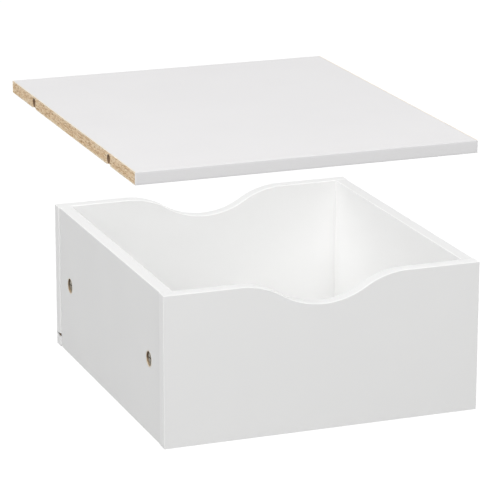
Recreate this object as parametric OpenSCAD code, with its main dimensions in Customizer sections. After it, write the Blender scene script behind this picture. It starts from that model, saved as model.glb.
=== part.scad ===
// Drawer box of coated chipboard with a hand scoop in its front and back,
// and a loose shelf board that is lifted off it.
// Origin: centre of the box's footprint, on the surface it stands on. +Z up, front towards -Y.

/* [Box] */
// Width over the front and back panels
box_w = 330; // [240:1:400]
// Depth over the front and back panels
box_d = 350; // [240:1:450]
// Height of all four panels
box_h = 154; // [120:1:240]
// Thickness of the four box panels
panel_t = 13; // [12.5:0.5:19]
// How far each side panel stands back from the ends of the front and back panels
side_inset = 1; // [0.5:0.1:3]

/* [Hand scoop] */
// Width of the wave in the top edge of the front and back panels
scoop_w = 175; // [120:1:190]
// Depth of the wave at its middle
scoop_depth = 25; // [12:1:40]

/* [Edge bands] */
// Thickness of the plastic edge bands
band_t = 0.8; // [0.4:0.1:2]

/* [Floor] */
// Thickness of the hardboard floor
floor_t = 3; // [2:0.5:5]
// Height of the floor grooves above the underside of the box
groove_up = 11; // [8:1:14]
// Depth of the floor grooves in the panels
groove_depth = 6; // [3:0.5:7]
// Play between the floor and its grooves
floor_play = 0.3; // [0.1:0.1:1]

/* [Cam fittings] */
// Diameter of the round pocket that holds a cam
pocket_d = 15; // [14:0.5:18]
// Depth of the cam pocket beyond the bolt, which runs at half the panel's thickness
pocket_past_bolt = 4.9; // [4.7:0.1:5.6]
// Distance of the cam's centre from the end of the side panel
cam_setback = 34; // [30:1:44]
// Radial running clearance of a cam in its pocket
cam_play = 0.07; // [0.02:0.01:0.1]
// How far a cam lies below the outside face of the side panel
cam_recess = 1.8; // [0.5:0.1:2]
// Diameter of the bolt's head inside the cam
bolt_head_d = 6; // [5.4:0.1:6.3]
// Diameter of the bolt's neck, which the cam's rim hooks over
bolt_neck_d = 4; // [3:0.1:4.6]
// Diameter of the bolt's shank
bolt_shank_d = 7; // [6:0.1:7.4]
// Diameter of the bolt's thread
bolt_thread_d = 5; // [4:0.1:6]
// Length of the bolt's thread in the front or back panel
bolt_thread_len = 10; // [6:0.5:11]
// Diameter of the hole for the shank in the end of the side panel
bolt_hole_d = 8; // [7.6:0.1:9]

/* [Dowels] */
// Diameter of the wooden dowels
dowel_d = 8; // [6:0.5:9]
// Length of the wooden dowels
dowel_len = 30; // [24:1:40]
// Length of a dowel that sits in the front or back panel
dowel_in_face = 10; // [6:0.5:11]
// Distance of the dowels from the top and bottom edges of the panels
dowel_inset = 29; // [26:1:40]

/* [Shelf board] */
// Width of the shelf board
shelf_w = 334; // [240:1:420]
// Depth of the shelf board over its bands
shelf_d = 388; // [280:1:460]
// Thickness of the shelf board
shelf_t = 12; // [12:0.5:19]
// Diameter of the holes in the board's raw edges
pin_hole_d = 8; // [5:0.5:8.5]
// Depth of the holes in the board's raw edges
pin_hole_depth = 22; // [12:1:30]
// Distance of those holes from the front and rear of the board
pin_hole_setback = 76; // [40:1:110]
// Diameter of the shallow notch in the underside below each hole
notch_d = 10; // [6:0.5:14]
// Board left between the notch and the hole above it
notch_wall = 0.5; // [0.3:0.1:1.2]

/* [Shelf board as shown] */
// Sideways distance of the lifted board from its place on the rim
lift_x = 64; // [0:1:120]
// Forward distance of the lifted board from its place on the rim
lift_y = 80; // [0:1:150]
// Height of the lifted board above its place on the rim
lift_z = 144; // [20:1:250]

/* [Hidden] */
$fn = 96;

// How far a cutting shape runs past the face that it cuts
past = 1;
// Gap that keeps glued or seated round pieces from overlapping their holes
seat_gap = 0.02;
// Gap between the rim of the box and the board seated on it
rim_gap = 0.3;

// Colours
coated_white = [0.93, 0.93, 0.925];
band_white = [0.96, 0.96, 0.955];
floor_white = [0.9, 0.9, 0.89];
zinc_grey = [0.62, 0.62, 0.6];
steel_grey = [0.72, 0.73, 0.75];
beech = [0.83, 0.68, 0.48];

// Box: the side panels stand between the front and back panels
side_outer_x = box_w / 2 - side_inset;
side_inner_x = side_outer_x - panel_t;
side_mid_x = side_outer_x - panel_t / 2;
side_len = box_d - 2 * panel_t;
inner_face_y = side_len / 2;

// Wave: two arcs of one radius on each side, meeting at a common tangent
scoop_half = scoop_w / 2;
scoop_angle = 2 * atan(scoop_depth / scoop_half);
scoop_r = scoop_half / (2 * sin(scoop_angle));

// Floor and its grooves
groove_h = floor_t + floor_play;
floor_w = 2 * (side_inner_x + groove_depth - floor_play);
floor_d = 2 * (inner_face_y + groove_depth - floor_play);

// Cam fittings, at half the height of the box
cam_z = box_h / 2;
pocket_depth = panel_t / 2 + pocket_past_bolt;
cam_y = inner_face_y - cam_setback;
cam_r = pocket_d / 2 - cam_play;
cam_h = pocket_depth - cam_recess - seat_gap;
cam_bolt_h = cam_h - (panel_t / 2 - cam_recess);
cam_rim_t = 1.5;
cam_cavity_r = cam_r - cam_rim_t;
cam_cavity_h = bolt_head_d + 0.6;
cam_entry_d = bolt_head_d + 0.4;
cam_slot_h = bolt_neck_d + 0.6;
cam_drive_w = 1.4;
cam_drive_depth = 1;
bolt_head_near = 1.2;
bolt_head_far = sqrt(pow(cam_cavity_r - 0.3, 2) - pow(bolt_head_d / 2, 2));
bolt_shank_start = cam_r + 0.6;

// Dowels
dowel_bore_d = dowel_d + 2 * seat_gap;
dowel_bore_extra = 1;
dowel_rise = box_h / 2 - dowel_inset;
dowel_in_side = dowel_len - dowel_in_face;

// Shelf board: seated, its rear edge is flush with the back of the box
shelf_core_d = shelf_d - 2 * band_t;
shelf_seat_y = box_d / 2 - shelf_d / 2;
shelf_pos = [-lift_x, shelf_seat_y - lift_y, box_h + rim_gap + lift_z];
pin_hole_y = shelf_d / 2 - pin_hole_setback;
notch_h = (shelf_t - pin_hole_d) / 2 - notch_wall;

// ---- Front and back panels ----

// Air above the wave, with the board's edge moved into the board by a distance
module scoop_air(into) {
    low_r = scoop_r + into;
    low_centre = box_h - scoop_depth + scoop_r;
    bend_x = low_r * sin(scoop_angle);
    bend_z = low_centre - low_r * cos(scoop_angle);
    deepest = low_centre - low_r - past;
    intersection() {
        translate([0, low_centre])
            circle(r = low_r);
        translate([-bend_x, deepest])
            square([2 * bend_x, bend_z + past - deepest]);
    }
    difference() {
        polygon([
            [-bend_x, bend_z], [bend_x, bend_z],
            [scoop_half, box_h - into], [scoop_half, box_h + past],
            [-scoop_half, box_h + past], [-scoop_half, box_h - into]
        ]);
        for (side = [-1, 1])
            translate([side * scoop_half, box_h - scoop_r])
                circle(r = scoop_r - into);
    }
}

// Outline of a panel with the wave, its top edge moved down by a distance
module wave_outline(width, into) {
    difference() {
        translate([-width / 2, 0])
            square([width, box_h - into]);
        scoop_air(into);
    }
}

// Stands an outline up as the front panel's board, between its two faces
module stand_as_front() {
    translate([0, -inner_face_y, 0])
        rotate([90, 0, 0])
            linear_extrude(panel_t)
                children();
}

// Groove for the floor in the inner face of the front or back panel
module cross_groove(length) {
    translate([-length / 2, -inner_face_y - groove_depth, groove_up])
        cube([length, groove_depth + past, groove_h]);
}

// Holes for the bolts and dowels of both corners in the front panel
module corner_bores() {
    for (side = [-1, 1])
        translate([side * side_mid_x, -inner_face_y + past, cam_z]) {
            rotate([90, 0, 0])
                cylinder(d = bolt_thread_d + 2 * seat_gap, h = bolt_thread_len + past + seat_gap);
            for (up = [-1, 1])
                translate([0, 0, up * dowel_rise])
                    rotate([90, 0, 0])
                        cylinder(d = dowel_bore_d, h = dowel_in_face + dowel_bore_extra + past);
        }
}

module wave_panel(groove_len) {
    color(coated_white)
        difference() {
            stand_as_front()
                wave_outline(box_w - 2 * band_t, band_t);
            cross_groove(groove_len);
            corner_bores();
        }
}

module wave_band() {
    color(band_white)
        stand_as_front()
            difference() {
                wave_outline(box_w, 0);
                wave_outline(box_w + 2 * past, band_t);
            }
}

module end_band(side, groove_len) {
    color(band_white)
        difference() {
            translate([side * (box_w - band_t) / 2 - band_t / 2, -inner_face_y - panel_t, 0])
                cube([band_t, panel_t, box_h - band_t]);
            cross_groove(groove_len);
        }
}

// The front panel's groove is stopped short of its ends, the back panel's runs through
front_groove_len = floor_w + 2 * floor_play;
back_groove_len = box_w + 2 * past;

module front_panel() {
    wave_panel(front_groove_len);
}

module back_panel() {
    mirror([0, 1, 0])
        wave_panel(back_groove_len);
}

module front_top_band() {
    wave_band();
}

module back_top_band() {
    mirror([0, 1, 0])
        wave_band();
}

module front_left_band() {
    end_band(-1, front_groove_len);
}

module front_right_band() {
    end_band(1, front_groove_len);
}

module back_left_band() {
    mirror([0, 1, 0])
        end_band(-1, back_groove_len);
}

module back_right_band() {
    mirror([0, 1, 0])
        end_band(1, back_groove_len);
}

// ---- Side panels ----

module side_panel() {
    color(coated_white)
        difference() {
            translate([side_inner_x, -side_len / 2, 0])
                cube([panel_t, side_len, box_h - band_t]);
            translate([side_inner_x - past, -side_len / 2 - past, groove_up])
                cube([groove_depth + past, side_len + 2 * past, groove_h]);
            for (end = [-1, 1]) {
                translate([side_outer_x - pocket_depth, end * cam_y, cam_z])
                    rotate([0, 90, 0])
                        cylinder(d = pocket_d, h = pocket_depth + past);
                translate([side_mid_x, end * cam_y, cam_z])
                    rotate([-90 * end, 0, 0])
                        cylinder(d = bolt_hole_d, h = cam_setback + past);
                for (up = [-1, 1])
                    translate([side_mid_x, end * (side_len / 2 + past), cam_z + up * dowel_rise])
                        rotate([90 * end, 0, 0])
                            cylinder(d = dowel_bore_d, h = dowel_in_side + dowel_bore_extra + past);
            }
        }
}

module side_band() {
    color(band_white)
        translate([side_inner_x, -side_len / 2, box_h - band_t])
            cube([panel_t, side_len, band_t]);
}

module left_side() {
    mirror([1, 0, 0])
        side_panel();
}

module right_side() {
    side_panel();
}

module left_top_band() {
    mirror([1, 0, 0])
        side_band();
}

module right_top_band() {
    side_band();
}

// ---- Floor ----

module floor_panel() {
    color(floor_white)
        translate([-floor_w / 2, -floor_d / 2, groove_up])
            cube([floor_w, floor_d, floor_t]);
}

// ---- Cam fittings ----

// One cam, inner end on Z = 0, locked on a bolt that comes from the +Y side
module cam() {
    color(zinc_grey)
        difference() {
            cylinder(r = cam_r, h = cam_h);
            // Room for the bolt's head round the cam's centre
            translate([0, 0, cam_bolt_h - cam_cavity_h / 2])
                cylinder(r = cam_cavity_r, h = cam_cavity_h);
            // Slot for the bolt's neck, half way round the rim
            intersection() {
                translate([0, 0, cam_bolt_h - cam_slot_h / 2])
                    cylinder(r = cam_r + past, h = cam_slot_h);
                translate([0, -2 * cam_r, 0])
                    cube([2 * cam_r, 4 * cam_r, cam_h]);
            }
            translate([-cam_slot_h / 2, 0, cam_bolt_h - cam_slot_h / 2])
                cube([cam_slot_h, cam_r + past, cam_slot_h]);
            // Entry for the bolt's head, opposite the locked bolt
            translate([0, 0, cam_bolt_h])
                rotate([90, 0, 0])
                    cylinder(d = cam_entry_d, h = cam_r + past);
            // Cross recess for the screwdriver
            for (turn = [0, 90])
                translate([0, 0, cam_h - cam_drive_depth])
                    rotate([0, 0, turn])
                        translate([-cam_cavity_r, -cam_drive_w / 2, 0])
                            cube([2 * cam_cavity_r, cam_drive_w, cam_drive_depth + past]);
        }
}

// A cam in the right side panel's pocket at the rear
module seated_cam() {
    translate([side_outer_x - pocket_depth + seat_gap, cam_y, cam_z])
        rotate([0, 90, 0])
            cam();
}

module cam_back_right() {
    seated_cam();
}

module cam_front_right() {
    mirror([0, 1, 0])
        seated_cam();
}

module cam_back_left() {
    mirror([1, 0, 0])
        seated_cam();
}

module cam_front_left() {
    mirror([1, 0, 0])
        mirror([0, 1, 0])
            seated_cam();
}

// One bolt along +Y, from the cam's centre into the back panel
module cam_bolt() {
    translate([side_mid_x, cam_y, cam_z])
        rotate([-90, 0, 0]) {
            translate([0, 0, bolt_head_near])
                cylinder(d = bolt_head_d, h = bolt_head_far - bolt_head_near);
            translate([0, 0, bolt_head_near])
                cylinder(d = bolt_neck_d, h = bolt_shank_start - bolt_head_near + past);
            translate([0, 0, bolt_shank_start])
                cylinder(d = bolt_shank_d, h = cam_setback - bolt_shank_start);
            translate([0, 0, cam_setback - past])
                cylinder(d = bolt_thread_d, h = bolt_thread_len + past);
        }
}

module cam_bolts() {
    color(steel_grey)
        for (mx = [0, 1], my = [0, 1])
            mirror([mx, 0, 0])
                mirror([0, my, 0])
                    cam_bolt();
}

// ---- Dowels ----

module corner_dowels() {
    color(beech)
        for (side = [-1, 1], end = [-1, 1], up = [-1, 1])
            translate([
                side * side_mid_x,
                end * (inner_face_y + dowel_in_face),
                cam_z + up * dowel_rise
            ])
                rotate([90 * end, 0, 0])
                    cylinder(d = dowel_d, h = dowel_len);
}

// ---- Shelf board ----

module shelf_board() {
    color(coated_white)
        translate(shelf_pos)
            difference() {
                translate([-shelf_w / 2, -shelf_core_d / 2, 0])
                    cube([shelf_w, shelf_core_d, shelf_t]);
                for (side = [-1, 1], end = [-1, 1]) {
                    translate([side * (shelf_w / 2 + past), end * pin_hole_y, shelf_t / 2])
                        rotate([0, -90 * side, 0])
                            cylinder(d = pin_hole_d, h = pin_hole_depth + past);
                    translate([side * shelf_w / 2, end * pin_hole_y, -past])
                        cylinder(d = notch_d, h = notch_h + past);
                }
            }
}

// Band on the long edge of the board, at its rear
module shelf_band() {
    color(band_white)
        translate([-shelf_w / 2, shelf_core_d / 2, 0])
            cube([shelf_w, band_t, shelf_t]);
}

module shelf_front_band() {
    translate(shelf_pos)
        mirror([0, 1, 0])
            shelf_band();
}

module shelf_back_band() {
    translate(shelf_pos)
        shelf_band();
}

front_panel();
back_panel();
left_side();
right_side();
floor_panel();
front_top_band();
back_top_band();
left_top_band();
right_top_band();
front_left_band();
front_right_band();
back_left_band();
back_right_band();
cam_front_left();
cam_front_right();
cam_back_left();
cam_back_right();
cam_bolts();
corner_dowels();
shelf_board();
shelf_front_band();
shelf_back_band();
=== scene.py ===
"""Drawer box of coated chipboard with a hand scoop front and back, and its shelf board held above it."""
import math

import bmesh
import bpy
import numpy as np
from mathutils import Matrix, Vector


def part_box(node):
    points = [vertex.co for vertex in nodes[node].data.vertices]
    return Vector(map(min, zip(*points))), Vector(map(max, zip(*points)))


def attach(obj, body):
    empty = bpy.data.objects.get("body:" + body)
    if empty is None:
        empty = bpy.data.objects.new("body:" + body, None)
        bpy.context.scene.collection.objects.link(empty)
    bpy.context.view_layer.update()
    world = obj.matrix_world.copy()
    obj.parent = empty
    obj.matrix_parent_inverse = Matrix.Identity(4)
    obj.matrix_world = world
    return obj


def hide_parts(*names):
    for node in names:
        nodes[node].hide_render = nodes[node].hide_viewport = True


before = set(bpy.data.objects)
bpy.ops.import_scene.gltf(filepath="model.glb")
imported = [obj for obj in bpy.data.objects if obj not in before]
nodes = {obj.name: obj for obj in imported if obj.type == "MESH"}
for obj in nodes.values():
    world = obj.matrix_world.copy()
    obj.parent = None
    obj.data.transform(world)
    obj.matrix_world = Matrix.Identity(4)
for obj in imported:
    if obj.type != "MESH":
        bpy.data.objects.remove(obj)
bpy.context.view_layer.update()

mm = 0.001


# ---- Studio: floor, light and camera ----
# A wide white floor under an even white sky, with a big soft lamp overhead and
# weaker ones all round, which the satin faces don't mirror. The camera stands
# left of the front and looks a little down on the box through a long lens.

floor_radius = 30.0
floor_sides = 96
floor_colour = (0.20, 0.20, 0.20, 1)
near_floor_glow = 0.88
far_floor_glow = 0.97
glow_grows_from = 2.0
glow_grows_to = 6.0
sky_strength = 0.25
lamp_aim = (0, 0, 0.1)
camera_place = Vector((-0.9855, -2.5592, 0.9390))
camera_azimuth = math.radians(-20.853)
camera_elevation = math.radians(16.346)
camera_roll = math.radians(0.10)
camera_lens = 201.1


def wire(tree, kind, inputs=None, **options):
    """Adds a shader node with its options. An input is a value, or the output of another node to link."""
    made = tree.nodes.new(kind)
    for option, choice in options.items():
        setattr(made, option, choice)
    for socket, value in (inputs or {}).items():
        if isinstance(value, bpy.types.NodeSocket):
            tree.links.new(value, made.inputs[socket])
        else:
            made.inputs[socket].default_value = value
    return made


def maths(tree, operation, first, second=0.0, third=0.0):
    """One math node; gives its output."""
    return wire(tree, "ShaderNodeMath", {0: first, 1: second, 2: third}, operation=operation).outputs[0]


def place_on_piece(tree):
    """The place on the piece itself, in metres, so that a pattern moves with it."""
    return wire(tree, "ShaderNodeTexCoord").outputs["Object"]


def seen_directly(tree):
    """1 for rays that show a surface in the picture or in a gloss, 0 for rays that only carry light."""
    ray = wire(tree, "ShaderNodeLightPath").outputs
    either = maths(tree, "MAXIMUM", ray["Is Camera Ray"], ray["Is Glossy Ray"])
    return maths(tree, "MAXIMUM", either, ray["Is Transmission Ray"])


def empty_material(name):
    """A material with only its output node; gives it, its node tree and that node."""
    made = bpy.data.materials.new(name)
    made.use_nodes = True
    made.node_tree.nodes.clear()
    return made, made.node_tree, wire(made.node_tree, "ShaderNodeOutputMaterial")


def studio_floor():
    """A flat disc, its rim a circle of corners. Its own glow, which only shows in the picture, grows with
    distance until it meets the sky."""
    material, tree, output = empty_material("studio_floor")
    place = place_on_piece(tree)
    away = wire(tree, "ShaderNodeVectorMath", {0: place}, operation="LENGTH").outputs["Value"]
    glow = wire(tree, "ShaderNodeMapRange", {
        "Value": away, "From Min": glow_grows_from, "From Max": glow_grows_to,
        "To Min": near_floor_glow, "To Max": far_floor_glow}).outputs[0]
    shown_glow = maths(tree, "MULTIPLY", seen_directly(tree), glow)
    matt = wire(tree, "ShaderNodeBsdfDiffuse", {"Color": floor_colour})
    glowing = wire(tree, "ShaderNodeEmission", {"Strength": shown_glow})
    both = wire(tree, "ShaderNodeAddShader", {0: matt.outputs[0], 1: glowing.outputs[0]})
    tree.links.new(both.outputs[0], output.inputs["Surface"])
    turn = np.linspace(0, 2 * np.pi, floor_sides, endpoint=False)
    rim = np.stack([floor_radius * np.cos(turn), floor_radius * np.sin(turn), 0 * turn], axis=1)
    mesh = bpy.data.meshes.new("studio_floor")
    mesh.from_pydata(rim.tolist(), [], [list(range(len(rim)))])
    mesh.materials.append(material)
    floor = bpy.data.objects.new("studio_floor", mesh)
    bpy.context.scene.collection.objects.link(floor)


def white_sky():
    """Plain white where it is seen, and a weak even light on everything else."""
    world = bpy.data.worlds.new("white_sky")
    bpy.context.scene.world = world
    world.use_nodes = True
    tree = world.node_tree
    tree.nodes.clear()
    light = wire(tree, "ShaderNodeBackground", {"Color": (1, 1, 1, 1), "Strength": sky_strength})
    shown = wire(tree, "ShaderNodeBackground", {"Color": (1, 1, 1, 1), "Strength": 1.0})
    mix = wire(tree, "ShaderNodeMixShader", {
        0: seen_directly(tree), 1: light.outputs[0], 2: shown.outputs[0]})
    output = wire(tree, "ShaderNodeOutputWorld")
    tree.links.new(mix.outputs[0], output.inputs["Surface"])


def soft_lamp(name, place, aim, size, watts, mirrored=False):
    """A round lamp aimed at a point, unseen by the camera. The faces show its mirror image only if asked."""
    lamp = bpy.data.lights.new(name, "AREA")
    lamp.shape = "DISK"
    lamp.size = size
    lamp.energy = watts
    holder = bpy.data.objects.new(name, lamp)
    holder.location = place
    holder.rotation_mode = "QUATERNION"
    holder.rotation_quaternion = (Vector(aim) - Vector(place)).to_track_quat("-Z", "Y")
    holder.visible_camera = False
    holder.visible_glossy = mirrored
    bpy.context.scene.collection.objects.link(holder)


def camera():
    """Right, up and back axes from the azimuth and elevation, then turned about the back axis by a roll."""
    a, e, r = camera_azimuth, camera_elevation, camera_roll
    back = Vector((math.sin(a) * math.cos(e), -math.cos(a) * math.cos(e), math.sin(e)))
    right = (-back).cross(Vector((0, 0, 1))).normalized()
    up = right.cross(-back)
    turned_right = right * math.cos(r) + up * math.sin(r)
    turned_up = up * math.cos(r) - right * math.sin(r)
    holder = bpy.data.objects.new("camera", bpy.data.cameras.new("camera"))
    holder.matrix_world = Matrix((turned_right, turned_up, back)).transposed().to_4x4()
    holder.location = camera_place
    holder.data.lens = camera_lens
    holder.data.clip_start = 0.1
    holder.data.clip_end = 100
    bpy.context.scene.collection.objects.link(holder)
    bpy.context.scene.camera = holder


studio_floor()
white_sky()
soft_lamp("overhead_lamp", (0.1, -0.3, 4.2), (0, 0, 0.15), size=2.6, watts=34, mirrored=True)
soft_lamp("front_lamp", (-0.5, -3.3, 1.8), lamp_aim, size=2.0, watts=85)
soft_lamp("left_lamp", (-3.4, -0.3, 1.9), lamp_aim, size=2.0, watts=67)
soft_lamp("right_lamp", (3.3, -0.4, 1.2), lamp_aim, size=2.0, watts=22)
soft_lamp("rear_lamp", (2.4, 2.6, 0.8), lamp_aim, size=1.4, watts=42)
camera()
bpy.context.scene.view_settings.view_transform = "Standard"


# ---- Front, back and side panels ----
# Four boards of pressed wood chips, 13 mm thick, with a smooth white melamine
# sheet on both faces. Front and back overlap the sides, and the drilled
# pockets, the floor grooves and the sawn edges show the bare chips.

# One melamine in lit and shaded copies, as painted light: the outsides of the front and back as they are,
# the outsides of the sides darker with painted shade, the insides of the sides and the floor's face lighter
# with painted light, and the insides of the front and back darker with painted shade
box_white = (0.86, 0.86, 0.855, 1)
shaded_side_outside_white = (0.825, 0.825, 0.82, 1)
lit_inside_white = (0.893, 0.893, 0.888, 1)
shaded_end_inside_white = (0.81, 0.81, 0.805, 1)
melamine_sheet = 0.30 * mm
melamine_grey = (0.5, 0.5, 0.5, 1)
melamine_grey_share = 0.05
melamine_roughness = 0.30
chip_length = 5.0 * mm
chip_thickness = 0.9 * mm
chip_wander = 1.6 * mm
chip_pit_from = 0.62
chip_pit_blur = 0.3
fibre_height = 0.6
pit_depth = 0.8
chip_relief = 0.35 * mm
chip_roughness = 0.82
chip_browns = [(0.0, (0.37, 0.215, 0.105, 1)), (0.3, (0.73, 0.50, 0.285, 1)),
               (0.65, (0.92, 0.71, 0.475, 1)), (1.0, (0.96, 0.86, 0.69, 1))]
# Where a chip lies on that ramp at least, and how far each part of the pattern shifts it
brown_start = 0.36
brown_by_chip = 0.46
brown_by_fibre = 0.55
brown_by_dust = 0.35
# Painted shade in the pits between chips
pit_painted_shade = 0.34
paler_in_fine_layer = 0.16
fine_layer = 1.8 * mm
peel_share = 0.03
broken_cream = (0.94, 0.88, 0.77, 1)
cream_cover = 0.8
# Scorch, and painted shade deep in the cam pockets, the floor grooves and the pin holes, all in this brown
scorched_and_shaded_brown = (0.125, 0.072, 0.04, 1)
wall_margin = 0.1 * mm
cam_play = 0.07 * mm
pocket_chip = 1.6 * mm
pocket_whole_below = 0.3
pocket_chip_depth = 1.0 * mm
# From how deep the pocket walls darken, and how much at the bottom and at the top: scorch and painted shade,
# darker at the top, where the rim shades them
pocket_scorch_and_shade_from = 0.35 * mm
pocket_scorch_and_shade_low = 0.35
pocket_scorch_and_shade_high = 0.9
groove_low = 11 * mm
groove_high = 14.3 * mm
# How dark the groove's walls are: painted shade
groove_shade = 0.75


def ramp(tree, fac, stops):
    """A colour ramp through the given stops."""
    made = wire(tree, "ShaderNodeValToRGB", {"Fac": fac})
    band = made.color_ramp
    band.elements[0].position, band.elements[0].color = stops[0]
    band.elements[1].position, band.elements[1].color = stops[-1]
    for position, colour in stops[1:-1]:
        band.elements.new(position).color = colour
    return made.outputs["Color"]


def blend_colour(tree, fac, first, second):
    """The first colour where fac is 0, the second where it is 1. Inputs 6 and 7 of a mix are its colours."""
    return wire(tree, "ShaderNodeMix", {"Factor": fac, 6: first, 7: second}, data_type="RGBA").outputs[2]


def blend_value(tree, fac, first, second):
    """The first value where fac is 0, the second where it is 1. Inputs 2 and 3 of a mix are its values."""
    return wire(tree, "ShaderNodeMix", {"Factor": fac, 2: first, 3: second}, data_type="FLOAT").outputs[0]


def noise(tree, place, scale, detail=2.0, rough=0.5):
    """Soft blotches, about scale of them to the metre. Fac is one value between 0 and 1, Color three."""
    return wire(tree, "ShaderNodeTexNoise", {
        "Vector": place, "Scale": scale, "Detail": detail, "Roughness": rough}).outputs


def edge_step(tree, value, edge, soft):
    """0 below the edge and 1 above it, over a soft width."""
    return wire(tree, "ShaderNodeMapRange", {
        "Value": value, "From Min": edge - soft / 2, "From Max": edge + soft / 2}).outputs[0]


def off_middle_of(tree, value, middle):
    """How far a value lies from a middle, to either side."""
    return maths(tree, "ABSOLUTE", maths(tree, "SUBTRACT", value, middle))


def pressed_chips(tree, place, thin_axis, fine):
    """Colour and height of bare chipboard: flat chips that lie along the board, each with its own brown, and
    sunk pits between them, darkened with painted shade.
    fine is 1 in the paler layers of dust and small chips under the two faces."""
    scale = [1 / chip_length] * 3
    scale[thin_axis] = 1 / chip_thickness
    wander = noise(tree, place, 260, 3)["Color"]
    bend = wire(tree, "ShaderNodeVectorMath", {
        0: wander, 1: (0.5, 0.5, 0.5)}, operation="SUBTRACT").outputs[0]
    bent = wire(tree, "ShaderNodeVectorMath", {
        0: bend, 1: (chip_wander,) * 3, 2: place}, operation="MULTIPLY_ADD").outputs[0]
    flat = wire(tree, "ShaderNodeMapping", {"Vector": bent, "Scale": scale}).outputs[0]
    chips = wire(tree, "ShaderNodeTexVoronoi", {"Vector": flat, "Scale": 1.0}).outputs
    tone = wire(tree, "ShaderNodeSeparateColor", {0: chips["Color"]}).outputs[0]
    fibre = noise(tree, flat, 5.0, 4, 0.65)["Fac"]
    dust = noise(tree, place, 1900, 2)["Fac"]
    brown = maths(tree, "MULTIPLY_ADD", tone, brown_by_chip, brown_start)
    brown = maths(tree, "MULTIPLY_ADD", maths(tree, "SUBTRACT", fibre, 0.5), brown_by_fibre, brown)
    brown = maths(tree, "MULTIPLY_ADD", maths(tree, "SUBTRACT", dust, 0.5), brown_by_dust, brown)
    pit = edge_step(tree, chips["Distance"], chip_pit_from, chip_pit_blur)
    # Painted shade: the pits between chips darker, as well as sunk
    brown = maths(tree, "SUBTRACT", brown, maths(tree, "MULTIPLY", pit, pit_painted_shade))
    brown = maths(tree, "MULTIPLY_ADD", fine, paler_in_fine_layer, brown)
    height = maths(tree, "MULTIPLY_ADD", fibre, fibre_height, maths(tree, "MULTIPLY", pit, -pit_depth))
    return ramp(tree, brown, chip_browns), height


def melamine(tree, place, white):
    """Colour, roughness and height of the melamine sheet: nearly flat white, with a fine orange peel."""
    cloud = noise(tree, place, 14, 3)["Fac"]
    peel = noise(tree, place, 850, 3, 0.6)["Fac"]
    speck = noise(tree, place, 3200, 1)["Fac"]
    colour = blend_colour(tree, maths(tree, "MULTIPLY", cloud, melamine_grey_share), white, melamine_grey)
    roughness = maths(tree, "MULTIPLY_ADD", cloud, 0.12, melamine_roughness)
    roughness = maths(tree, "MULTIPLY_ADD", speck, 0.06, roughness)
    return colour, roughness, peel


def surface(tree, output, colour, roughness, height, relief, metallic=0.0):
    """The shader itself. A height of 1 stands out by the relief, in metres."""
    bump = wire(tree, "ShaderNodeBump", {"Height": height, "Distance": relief, "Strength": 1.0})
    shader = wire(tree, "ShaderNodeBsdfPrincipled", {
        "Base Color": colour, "Roughness": roughness, "Normal": bump.outputs[0]})
    shader.inputs["Metallic"].default_value = metallic
    tree.links.new(shader.outputs[0], output.inputs["Surface"])


def coated_board(name, low_white, high_white, thin_axis, middle, thickness, wear_and_shade=None):
    """Melamine on the two faces, low_white and high_white along the thin axis, and bare chips between them.
    The last argument gives two masks: where the sheet has broken off the faces, and how far the chips are
    darkened by scorch from a drill and by painted shade in pockets, grooves and holes."""
    material, tree, output = empty_material(name)
    place = place_on_piece(tree)
    axes = wire(tree, "ShaderNodeSeparateXYZ", {0: place}).outputs
    off_middle = off_middle_of(tree, axes[thin_axis], middle)
    ragged = noise(tree, place, 1400, 3, 0.7)["Fac"]
    sheet = maths(tree, "MULTIPLY", ragged, 2 * melamine_sheet)
    bare = maths(tree, "LESS_THAN", maths(tree, "ADD", off_middle, sheet), thickness / 2)
    fine = edge_step(tree, off_middle, thickness / 2 - fine_layer, fine_layer)
    colour, height = pressed_chips(tree, place, thin_axis, fine)
    if wear_and_shade:
        broken, scorch_and_shade = wear_and_shade(tree, axes, ragged)
        on_face = maths(tree, "MULTIPLY", broken, maths(tree, "SUBTRACT", 1.0, bare))
        colour = blend_colour(tree, maths(tree, "MULTIPLY", on_face, cream_cover), colour, broken_cream)
        # Scorch and painted shade darken the chips
        colour = blend_colour(tree, scorch_and_shade, colour, scorched_and_shaded_brown)
        bare = maths(tree, "MAXIMUM", bare, broken)
    upper_face = maths(tree, "GREATER_THAN", axes[thin_axis], middle)
    smooth, gloss, peel = melamine(tree, place, blend_colour(tree, upper_face, low_white, high_white))
    height = blend_value(tree, bare, maths(tree, "MULTIPLY", peel, peel_share), height)
    surface(tree, output, blend_colour(tree, bare, smooth, colour),
            blend_value(tree, bare, gloss, chip_roughness), height, chip_relief)
    return material


def distance_from_holes(tree, axes, across, middle, offset, up):
    """Distance from the nearer of two hole axes, which lie an offset to either side of a middle."""
    aside = maths(tree, "SUBTRACT", off_middle_of(tree, axes[across], middle), offset)
    above = maths(tree, "SUBTRACT", axes[2], up)
    squares = maths(tree, "MULTIPLY_ADD", aside, aside, maths(tree, "MULTIPLY", above, above))
    return maths(tree, "SQRT", squares)


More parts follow.
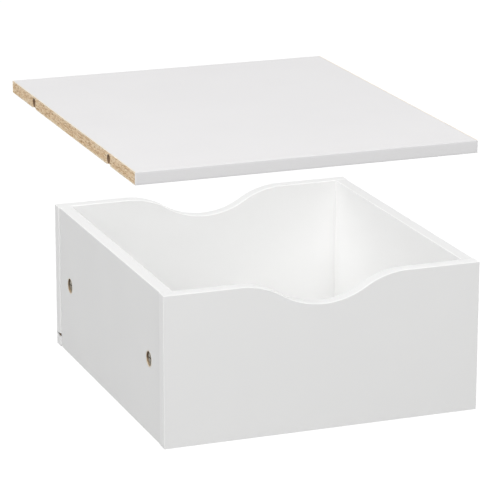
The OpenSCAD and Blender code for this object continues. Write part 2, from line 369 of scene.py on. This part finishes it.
def pocket_wear(side):
    """A ragged ring of broken sheet round the two cam pockets of a side panel, and pocket walls darkened by
    scorch and by painted shade, darker towards the top, where the rim shades them.
    """
    def masks(tree, axes, ragged):
        low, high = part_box(f"cam_back_{side}")
        board_low, board_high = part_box(side + "_side")
        face = max(-board_low.x, board_high.x)
        radius = (high.z - low.z) / 2 + cam_play
        pocket_y, pocket_z = (low.y + high.y) / 2, (low.z + high.z) / 2
        reach = distance_from_holes(tree, axes, 1, 0.0, pocket_y, pocket_z)
        off = maths(tree, "ABSOLUTE", axes[0])
        chipped = maths(tree, "SUBTRACT", ragged, pocket_whole_below)
        ring = maths(tree, "MULTIPLY_ADD", chipped, 3 * pocket_chip, radius)
        broken = maths(tree, "MULTIPLY", maths(tree, "LESS_THAN", reach, ring),
                       maths(tree, "GREATER_THAN", off, face - pocket_chip_depth))
        scorch_and_shade = maths(tree, "MULTIPLY", maths(tree, "LESS_THAN", reach, radius + wall_margin),
                         maths(tree, "LESS_THAN", off, face - pocket_scorch_and_shade_from))
        # Painted shade: the upper wall, in the rim's shadow, darker than the lower
        upper = edge_step(tree, axes[2], pocket_z - radius / 2, radius)
        burnt_and_shaded = blend_value(tree, upper, pocket_scorch_and_shade_low, pocket_scorch_and_shade_high)
        return broken, maths(tree, "MULTIPLY", scorch_and_shade, burnt_and_shaded)
    return masks


def shaded_groove(tree, axes, ragged):
    """Walls in the saw-cut groove that holds the floor, darkened with painted shade, and no broken sheet."""
    # Painted shade on the groove's walls
    above = maths(tree, "GREATER_THAN", axes[2], groove_low - wall_margin)
    below = maths(tree, "LESS_THAN", axes[2], groove_high + wall_margin)
    return 0.0, maths(tree, "MULTIPLY", maths(tree, "MULTIPLY", above, below), groove_shade)


def dress(node, material):
    """Gives a CAD node its material and nothing else."""
    nodes[node].data.materials.clear()
    nodes[node].data.materials.append(material)


def middle_and_thickness(node, axis):
    """Middle and thickness of a node along one axis."""
    low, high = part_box(node)
    return (low[axis] + high[axis]) / 2, high[axis] - low[axis]


# Each panel's two faces take their lit or shaded copy of the white: painted light and shade
for panel, whites, axis, wear_and_shade in (
        ("front_panel", (box_white, shaded_end_inside_white), 1, shaded_groove),
        ("back_panel", (shaded_end_inside_white, box_white), 1, shaded_groove),
        ("left_side", (shaded_side_outside_white, lit_inside_white), 0, pocket_wear("left")),
        ("right_side", (lit_inside_white, shaded_side_outside_white), 0, pocket_wear("right"))):
    dress(panel, coated_board(panel + "_board", *whites, axis, *middle_and_thickness(panel, axis), wear_and_shade))


# ---- Floor ----
# A sheet of 3 mm hardboard slid into the grooves before the last panel goes
# on. It is white above and bare brown, finely fibrous, underneath.

hardboard_browns = [(0.0, (0.14, 0.075, 0.04, 1)), (1.0, (0.30, 0.18, 0.10, 1))]
hardboard_relief = 0.2 * mm
hardboard_roughness = 0.75
painted_peel_share = 0.05


def hardboard():
    """White on the upper face, and fine brown fibre on the edges and underneath."""
    material, tree, output = empty_material("white_faced_hardboard")
    place = place_on_piece(tree)
    up = wire(tree, "ShaderNodeSeparateXYZ", {0: place}).outputs[2]
    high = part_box("floor_panel")[1]
    bare = maths(tree, "LESS_THAN", up, high.z - wall_margin)
    fibre = noise(tree, place, 1100, 5, 0.7)["Fac"]
    cloud = noise(tree, place, 30, 3)["Fac"]
    brown = ramp(tree, maths(tree, "MULTIPLY_ADD", cloud, 0.4, maths(tree, "MULTIPLY", fibre, 0.6)),
                 hardboard_browns)
    # The floor's white face takes the lighter inside white: painted light
    white, gloss, peel = melamine(tree, place, lit_inside_white)
    height = blend_value(tree, bare, maths(tree, "MULTIPLY", peel, painted_peel_share), fibre)
    surface(tree, output, blend_colour(tree, bare, white, brown),
            blend_value(tree, bare, gloss, hardboard_roughness), height, hardboard_relief)
    return material


dress("floor_panel", hardboard())


# ---- Corner dowels ----
# Eight beech dowels glued into blind holes, two at each corner. Each is
# fluted along its length so that air and glue can escape, with chamfered ends.

dowel_diameter = 8 * mm
dowel_length = 30 * mm
dowel_flutes = 18
flute_steps = 6
flute_depth = 0.22 * mm
dowel_chamfer = 0.9 * mm
chamfer_slope = 0.7
grain_stretch = 0.08
beech_relief = 0.1 * mm
beech_roughness = 0.6
beech_browns = [(0.0, (0.36, 0.20, 0.09, 1)), (0.5, (0.58, 0.37, 0.19, 1)), (1.0, (0.70, 0.49, 0.28, 1))]


def smooth_piece(name, mesh, material):
    """An object in the scene for a mesh, smoothly shaded, with one material."""
    mesh.polygons.foreach_set("use_smooth", [True] * len(mesh.polygons))
    mesh.materials.clear()
    mesh.materials.append(material)
    piece = bpy.data.objects.new(name, mesh)
    bpy.context.scene.collection.objects.link(piece)
    return piece


def closed_tubes(name, tubes, material, smooth_below=35):
    """One mesh of closed tubes. A tube is rings of points, (ring, point, xyz), joined ring to ring,
    with a flat face over its first and last ring. Edges bent by more than smooth_below degrees are sharp."""
    points, faces, start = [], [], 0
    for rings in tubes:
        rows, around = rings.shape[:2]
        here = start + np.arange(rows * around).reshape(rows, around)
        beside = np.roll(here, -1, axis=1)
        quads = np.stack([here[:-1], beside[:-1], beside[1:], here[1:]], axis=-1)
        faces += quads.reshape(-1, 4).tolist() + [here[0].tolist(), here[-1].tolist()]
        points.append(rings.reshape(-1, 3))
        start += rows * around
    mesh = bpy.data.meshes.new(name)
    mesh.from_pydata(np.concatenate(points).tolist(), [], faces)
    work = bmesh.new()
    work.from_mesh(mesh)
    bmesh.ops.recalc_face_normals(work, faces=work.faces)
    work.to_mesh(mesh)
    work.free()
    piece = smooth_piece(name, mesh, material)
    mesh.set_sharp_from_angle(angle=math.radians(smooth_below))
    return piece


def turned_along_y(x, z, start_y, way, along, radii):
    """Rings of a turned piece: along gives each ring's distance from start_y in the direction way, and
    radii its radius at each angle, (ring, angle)."""
    turn = np.linspace(0, 2 * np.pi, radii.shape[1], endpoint=False)
    return np.stack([x + radii * np.cos(turn), (start_y + way * along)[:, None] + 0 * radii,
                     z + radii * np.sin(turn)], axis=-1)


def beech():
    """Fine grain drawn out along the dowel, with darker flecks."""
    material, tree, output = empty_material("beech")
    place = place_on_piece(tree)
    drawn = wire(tree, "ShaderNodeMapping", {"Vector": place, "Scale": (1, grain_stretch, 1)}).outputs[0]
    grain = noise(tree, drawn, 1500, 4, 0.6)["Fac"]
    fleck = noise(tree, drawn, 5200, 2)["Fac"]
    fac = maths(tree, "MULTIPLY_ADD", fleck, 0.35, maths(tree, "MULTIPLY", grain, 0.65))
    surface(tree, output, ramp(tree, fac, beech_browns), beech_roughness, grain, beech_relief)
    return material


def fluted_dowels():
    """Radius = the dowel's, less a flute or the chamfer, whichever is deeper. A flute is a raised cosine of
    the angle, cubed, and the chamfer grows evenly towards each end."""
    radius = dowel_diameter / 2
    turn = np.linspace(0, 2 * np.pi, dowel_flutes * flute_steps, endpoint=False)
    along = np.array([0, dowel_chamfer / 2, dowel_chamfer, dowel_length / 2])
    along = np.concatenate([along, dowel_length - along[-2::-1]])
    from_end = np.minimum(along, dowel_length - along)
    chamfer = np.clip(dowel_chamfer - from_end, 0, None)[:, None] * chamfer_slope
    flutes = flute_depth * (0.5 - 0.5 * np.cos(dowel_flutes * turn)) ** 3
    radii = radius - np.maximum(chamfer, flutes[None, :])
    low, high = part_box("corner_dowels")
    tubes = [turned_along_y(x, z, y, 1, along, radii)
             for x in (low.x + radius, high.x - radius)
             for y in (low.y, high.y - dowel_length)
             for z in (low.z + radius, high.z - radius)]
    piece = closed_tubes("fluted_dowels", tubes, beech())
    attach(piece, "box")
    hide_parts("corner_dowels")


fluted_dowels()


# ---- Cam bolts ----
# Four zinc-plated steel bolts, screwed into the front and back panels. Each
# has a coarse wood thread, a plain shank, a thin neck and a round head, which
# the cam hooks and pulls.

# Distance from the end of the head and radius there, in mm: head, neck, shank
bolt_profile = [(0, 2.4), (0.35, 2.95), (2.6, 2.95), (3.1, 2.6), (3.35, 1.95), (6.4, 1.95),
                (6.9, 2.9), (7.4, 3.45), (31.9, 3.45), (32.4, 3.2), (32.75, 2.1)]
bolt_head_gap = 1.25 * mm
bolt_pitch = 2.0 * mm
bolt_core_radius = 1.9 * mm
bolt_thread_depth = 0.55 * mm
bolt_point = 1.5 * mm
bolt_tip_share = 0.25
thread_rings = 60
bolt_sides = 24
steel_light = (0.62, 0.63, 0.64, 1)
steel_dark = (0.45, 0.46, 0.48, 1)
metal_relief = 0.05 * mm
metal_share = 0.9


def dull_metal(name, light, dark, roughness, grain_scale):
    """Metal with a cloudy tone, fine grain and slightly uneven gloss."""
    material, tree, output = empty_material(name)
    place = place_on_piece(tree)
    cloud = noise(tree, place, 420, 4, 0.6)["Fac"]
    grain = noise(tree, place, grain_scale, 3, 0.7)["Fac"]
    tone = blend_colour(tree, cloud, dark, light)
    gloss = maths(tree, "MULTIPLY_ADD", grain, 0.25, roughness - 0.12)
    surface(tree, output, tone, gloss, grain, metal_relief, metallic=metal_share)
    return material


def threaded_bolts():
    """Radius over the distance from the head: head, neck and shank by the profile, then a thread that tapers
    to a point, its ridge a raised cosine, squared, of the distance over the pitch less the turn."""
    low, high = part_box("cam_bolts")
    cam_low, cam_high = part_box("cam_back_left")
    head_y = (cam_low.y + cam_high.y) / 2 + bolt_head_gap
    knots = np.array(bolt_profile) * mm
    thread_end = high.y - head_y
    turned = np.linspace(knots[-1, 0], thread_end, thread_rings)[1:]
    along = np.concatenate([knots[:, 0], turned])
    turn = np.linspace(0, 2 * np.pi, bolt_sides, endpoint=False)
    radii = np.repeat(knots[:, 1][:, None], len(turn), axis=1)
    ridge = (0.5 + 0.5 * np.cos(2 * np.pi * turned[:, None] / bolt_pitch - turn[None, :])) ** 2
    taper = np.clip((thread_end - turned) / bolt_point, bolt_tip_share, 1)[:, None]
    thread = (bolt_core_radius + bolt_thread_depth * ridge) * taper
    radii = np.concatenate([radii, thread])
    middle_x = high.x - (high.z - low.z) / 2
    middle_z = (low.z + high.z) / 2
    tubes = [turned_along_y(side * middle_x, middle_z, way * head_y, way, along, radii)
             for side in (-1, 1) for way in (-1, 1)]
    steel = dull_metal("zinc_plated_steel", steel_light, steel_dark, roughness=0.34, grain_scale=2600)
    piece = closed_tubes("threaded_bolts", tubes, steel)
    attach(piece, "box")
    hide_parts("cam_bolts")


threaded_bolts()


# ---- Cams ----
# Four die-cast zinc cams, each turned half a turn with a screwdriver to hook
# its bolt. The casting has softened edges, a cross recess and a small raised
# arrow that shows where the bolt comes in.

cam_edge = 0.18 * mm
cam_edge_segments = 2
weld_distance = 0.001 * mm
flat_within = math.radians(1)
rounded_above = math.radians(40)
arrow_length = 2.6 * mm
arrow_half_width = 1.1 * mm
arrow_height = 0.25 * mm
arrow_from_centre = 5.6 * mm
arrow_up = 2.9 * mm
arrow_sunk = 0.05 * mm
arrow_top_share = 0.8
zinc_light = (0.46, 0.44, 0.39, 1)
zinc_dark = (0.27, 0.25, 0.21, 1)

zinc = dull_metal("die_cast_zinc", zinc_light, zinc_dark, roughness=0.48, grain_scale=1800)


def softened_copy(node, name, material, width):
    """The CAD solid with its flat parts merged and every sharp edge broken by a small round."""
    mesh = nodes[node].data.copy()
    mesh.name = name
    work = bmesh.new()
    work.from_mesh(mesh)
    bmesh.ops.remove_doubles(work, verts=work.verts, dist=weld_distance)
    bmesh.ops.dissolve_limit(work, angle_limit=flat_within, verts=work.verts, edges=work.edges)
    work.to_mesh(mesh)
    work.free()
    piece = smooth_piece(name, mesh, material)
    rounding = piece.modifiers.new("broken_edges", "BEVEL")
    rounding.width = width
    rounding.segments = cam_edge_segments
    rounding.limit_method = "ANGLE"
    rounding.angle_limit = rounded_above
    rounding.harden_normals = True
    return piece


def arrow_rings(face_x, out, y, z, way):
    """A raised triangle as three rings: its foot, sunk a little into the cam's face, its shoulder half way
    up, and its top, drawn in towards the middle."""
    outline = np.array([[0, way * arrow_length, 0], [0, 0, arrow_half_width], [0, 0, -arrow_half_width]])
    middle = outline.mean(axis=0)
    top = middle + (outline - middle) * arrow_top_share
    origin = np.array([face_x, y, z])
    lift = np.array([out, 0, 0])
    return origin + np.stack([outline - lift * arrow_sunk, outline + lift * arrow_height / 2,
                              top + lift * arrow_height])


for end, way in (("front", -1), ("back", 1)):
    for side, out in (("left", -1), ("right", 1)):
        node = f"cam_{end}_{side}"
        low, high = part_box(node)
        face_x = high.x if out > 0 else low.x
        middle_y, middle_z = (low.y + high.y) / 2, (low.z + high.z) / 2
        body = softened_copy(node, node + "_casting", zinc, cam_edge)
        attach(body, node)
        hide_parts(node)
        arrow_y = middle_y - way * arrow_from_centre
        rings = arrow_rings(face_x, out, arrow_y, middle_z + arrow_up, way)
        arrow = closed_tubes(node + "_arrow", [rings], zinc, smooth_below=20)
        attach(arrow, node)


# ---- Edge bands ----
# White plastic strips 0.8 mm thick, melted onto the sawn edges and trimmed.
# The trimming leaves a small round along both long edges and a hair-thin
# groove at the glue line. On the front and back they follow the wave.

band_round = 0.62 * mm
glue_line = 0.05 * mm
least_thickness = 0.15 * mm
# Where the rings and points lie that shape a round: from a long edge, and from an end
edge_points = np.array([0, 0.03, 0.1, 0.22, 0.4, 0.62]) * mm
end_rings = np.array([0, 0.06, 0.15, 0.3, 0.62]) * mm
end_inset = 2 * mm
rings_between_ends = 8
points_between_rounds = 6
straight_rings = np.linspace(2, 70, 12) * mm
wave_steps = 140
plastic_relief = 0.012 * mm
band_white = (0.865, 0.865, 0.86, 1)
# The right rim strip's white is darker: painted shade
shaded_right_band_white = (0.825, 0.825, 0.82, 1)
# Painted highlight along both long edges of a strip, with the whitening the scraper leaves: its white, width
# and blur
scraped_and_highlight_white = (0.905, 0.905, 0.90, 1)
scraped_and_highlight_width = 1.1 * mm
scraped_and_highlight_blur = 0.3 * mm
plastic_roughness = 0.26
plastic_shade = 0.965

top_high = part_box("front_top_band")[1]
box_top = top_high.z
band_t = box_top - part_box("front_panel")[1].z
panel_t = middle_and_thickness("front_panel", 1)[1]
groove_depth = 6 * mm
wave_half = 87.5 * mm
wave_deep = 25 * mm
# Each half of the scoop is two arcs of one radius, which turn by the same angle and meet on a slope
wave_angle = 2 * math.atan(wave_deep / wave_half)
wave_radius = wave_half / (2 * math.sin(wave_angle))


def band_plastic(name, white, scraped_and_highlit_edges=None):
    """Satin plastic, finely rolled. The last argument gives the axis across the strip, its middle and its
    half
    width: there the scraper that rounds the two long edges whitens them a little, and a painted highlight
    lightens them more."""
    material, tree, output = empty_material(name)
    place = place_on_piece(tree)
    cloud = noise(tree, place, 22, 3)["Fac"]
    peel = noise(tree, place, 1300, 3, 0.6)["Fac"]
    fine = noise(tree, place, 5200, 2)["Fac"]
    shade = tuple(plastic_shade * part for part in white[:3]) + (1,)
    colour = blend_colour(tree, cloud, shade, white)
    if scraped_and_highlit_edges:
        axis, middle, half = scraped_and_highlit_edges
        across = wire(tree, "ShaderNodeSeparateXYZ", {0: place}).outputs[axis]
        off_middle = off_middle_of(tree, across, middle)
        # Painted highlight, with the scraper's whitening, along the two long edges
        scraped_and_highlit = edge_step(tree, off_middle, half - scraped_and_highlight_width, scraped_and_highlight_blur)
        colour = blend_colour(tree, scraped_and_highlit, colour, scraped_and_highlight_white)
    gloss = maths(tree, "MULTIPLY_ADD", cloud, 0.10, plastic_roughness)
    gloss = maths(tree, "MULTIPLY_ADD", fine, 0.08, gloss)
    surface(tree, output, colour, gloss, peel, plastic_relief)
    return material


def rounded_down(gap):
    """How far a trimmed edge has dropped at a distance from the strip's own edge: a quarter circle."""
    inside = np.clip(band_round - gap, 0, band_round)
    return band_round - np.sqrt(band_round ** 2 - inside ** 2)


def strip_rings(base, out, across, half, end_gap, span=(-1, 1)):
    """Rings round a strip along a path. base is the path on the glue line, out the strip's outward normals
    and across the direction of its width. Its thickness over the width is the band's, less the quarter
    rounds at its two long edges and, by end_gap, at its ends. span takes part of the width only."""
    lows = -half + edge_points if span[0] == -1 else np.array([span[0] * half])
    highs = half - edge_points[::-1] if span[1] == 1 else np.array([span[1] * half])
    between = np.linspace(lows[-1], highs[0], points_between_rounds)[1:-1]
    top = np.concatenate([lows, between, highs])
    drop = rounded_down(half - np.abs(top))[None, :] + rounded_down(end_gap)[:, None]
    height = np.clip(band_t - drop, least_thickness, band_t)
    foot = np.array([top[-1], top[-1] - glue_line, top[0] + glue_line, top[0]])
    foot_height = np.array([glue_line, 0, 0, glue_line])
    sideways = np.concatenate([top, foot])
    upward = np.concatenate([height, np.repeat(foot_height[None, :], len(base), axis=0)], axis=1)
    return (base[:, None, :] + across[None, None, :] * sideways[None, :, None]
            + out[:, None, :] * upward[:, :, None])


def wave_path():
    """Glue line of the top strip: the straight edge, then two arcs of one radius to the scoop's middle,
    mirrored. At angle t an arc's normal is (sin t, cos t), and the strip's outside is one thickness out."""
    straight_x = np.concatenate([end_rings, straight_rings]) - top_high.x
    turn = np.linspace(0, wave_angle, wave_steps // 2)
    high = np.stack([-wave_half + wave_radius * np.sin(turn),
                     box_top - wave_radius + wave_radius * np.cos(turn)], axis=1)
    back = turn[::-1][1:]
    low = np.stack([-wave_radius * np.sin(back),
                    box_top - wave_deep + wave_radius - wave_radius * np.cos(back)], axis=1)
    straight = np.stack([straight_x, 0 * straight_x + box_top], axis=1)
    outside = np.concatenate([straight, high, low])
    normal = np.concatenate([np.stack([0 * straight_x, 0 * straight_x + 1], axis=1),
                             np.stack([np.sin(turn), np.cos(turn)], axis=1),
                             np.stack([np.sin(back), np.cos(back)], axis=1)])
    outside = np.concatenate([outside, outside[-2::-1] * [-1, 1]])
    normal = np.concatenate([normal, normal[-2::-1] * [-1, 1]])
    glued = outside - normal * band_t
    flat = np.zeros(len(glued))
    end_gap = top_high.x - np.abs(outside[:, 0])
    return (np.stack([glued[:, 0], flat, glued[:, 1]], axis=1),
            np.stack([normal[:, 0], flat, normal[:, 1]], axis=1), end_gap)


along_x, along_y, along_z = np.eye(3)


def stick_on(name, node, body, tubes, plastic):
    """A finished strip in the place of the plain one."""
    piece = closed_tubes(name, tubes, plastic)
    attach(piece, body)
    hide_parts(node)
    return piece


def straight_strip(start, end, out, across, half, rounded_ends=(False, False), span=(-1, 1)):
    """Rings of a strip from start to end on the glue line: even ones from one inset to the other, and close
    ones where an end is rounded."""
    start, end = np.array(start), np.array(end)
    length = np.linalg.norm(end - start)
    first = end_rings if rounded_ends[0] else [0]
    last = length - end_rings[::-1] if rounded_ends[1] else [length]
    even = np.linspace(end_inset, length - end_inset, rings_between_ends)
    along = np.concatenate([first, even, last])
    base = start + (end - start) * (along / length)[:, None]
    from_start = along if rounded_ends[0] else np.full_like(along, length)
    from_end = length - along if rounded_ends[1] else np.full_like(along, length)
    outward = np.repeat(np.array(out)[None, :], len(base), axis=0)
    return strip_rings(base, outward, across, half, np.minimum(from_start, from_end), span)


for end in ("front", "back"):
    middle = middle_and_thickness(end + "_panel", 1)[0]
    glued, normal, gap = wave_path()
    glued[:, 1] = middle
    stick_on(end + "_wave_strip", end + "_top_band", "box",
             [strip_rings(glued, normal, along_y, panel_t / 2, gap)],
             band_plastic(end + "_wave_plastic", band_white, (1, middle, panel_t / 2)))

# The right rim strip takes the darker white: painted shade
for side, white in (("left", band_white), ("right", shaded_right_band_white)):
    low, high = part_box(side + "_top_band")
    middle = (low.x + high.x) / 2
    stick_on(side + "_rim_strip", side + "_top_band", "box", [straight_strip(
        (middle, low.y, low.z), (middle, high.y, low.z), along_z, along_x, panel_t / 2)],
        band_plastic(side + "_rim_plastic", white, (0, middle, panel_t / 2)))

# The back panel's floor groove runs out at both ends, so the strips there leave it open
groove_span = 1 - 2 * groove_depth / panel_t
upright_plastic = band_plastic("upright_plastic", band_white)
for end in ("front", "back"):
    for side, out in (("left", -1), ("right", 1)):
        node = f"{end}_{side}_band"
        low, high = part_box(node)
        x = low.x if out > 0 else high.x
        y = middle_and_thickness(end + "_panel", 1)[0]
        levels = [(low.z, high.z, (-1, 1))]
        if end == "back":
            levels = [(low.z, groove_low, (-1, 1)), (groove_low, groove_high, (-groove_span, 1)),
                      (groove_high, high.z, (-1, 1))]
        tubes = [straight_strip((x, y, bottom), (x, y, top), out * along_x, along_y, panel_t / 2,
                                (bottom == low.z, False), span) for bottom, top, span in levels]
        stick_on(f"{end}_{side}_end_strip", node, "box", tubes, upright_plastic)


# ---- Shelf board ----
# A 12 mm coated board with strips on its front and rear edges only. Its left
# and right edges are bare chips, sawn and drilled, with a shallow notch under
# each hole; along the saw cut the melamine has chipped away here and there.

shelf_white = (0.775, 0.765, 0.77, 1)
shelf_low, shelf_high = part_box("shelf_board")
shelf_half = (shelf_high.x - shelf_low.x) / 2
shelf_middle = (shelf_high + shelf_low) / 2
pin_hole_radius = 4 * mm
pin_hole_offset = 118 * mm
pin_hole_rim = 1.2 * mm
rim_scorch = 0.6
# How dark the pin holes' walls are: scorch and painted shade
bore_scorch_and_shade = 0.92
saw_chip = 1.0 * mm
saw_whole_below = 0.25
shelf_band_white = (0.745, 0.74, 0.745, 1)


def sawn_wear(tree, axes, ragged):
    """Broken sheet in a narrow ragged line along the two sawn edges, a ring of scorch round each pin hole,
    and the pin holes' walls darkened nearly black by scorch and by painted shade.
    """
    off = off_middle_of(tree, axes[0], shelf_middle.x)
    chipped = maths(tree, "SUBTRACT", ragged, saw_whole_below)
    limit = maths(tree, "MULTIPLY", chipped, -4 * saw_chip)
    broken = maths(tree, "GREATER_THAN", off, maths(tree, "ADD", limit, shelf_half))
    reach = distance_from_holes(tree, axes, 1, shelf_middle.y, pin_hole_offset, shelf_middle.z)
    burnt_rim = maths(tree, "MULTIPLY_ADD", ragged, pin_hole_rim, pin_hole_radius)
    # Painted shade with scorch: the holes' walls nearly black, as the board casts no shadow into its own
    # holes
    bore = maths(tree, "LESS_THAN", reach, pin_hole_radius + wall_margin)
    rim = maths(tree, "MULTIPLY", maths(tree, "LESS_THAN", reach, burnt_rim), rim_scorch)
    return broken, maths(tree, "MAXIMUM", rim, maths(tree, "MULTIPLY", bore, bore_scorch_and_shade))


dress("shelf_board", coated_board(
    "shelf_coated_board", shelf_white, shelf_white, 2, *middle_and_thickness("shelf_board", 2), sawn_wear))
shelf_plastic = band_plastic("shelf_band_plastic", shelf_band_white)
lets_light_pass = [nodes["shelf_board"]]
for end, way in (("front", -1), ("back", 1)):
    node = f"shelf_{end}_band"
    low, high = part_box(node)
    y = high.y if way < 0 else low.y
    z = (low.z + high.z) / 2
    strip = straight_strip((low.x, y, z), (high.x, y, z), way * along_y, along_z,
                           (high.z - low.z) / 2, (True, True))
    lets_light_pass.append(stick_on(f"shelf_{end}_strip", node, "shelf", [strip], shelf_plastic))

# The board is only held up over the box, so it neither shades nor tints it
for piece in lets_light_pass:
    piece.visible_shadow = False
    piece.visible_diffuse = False
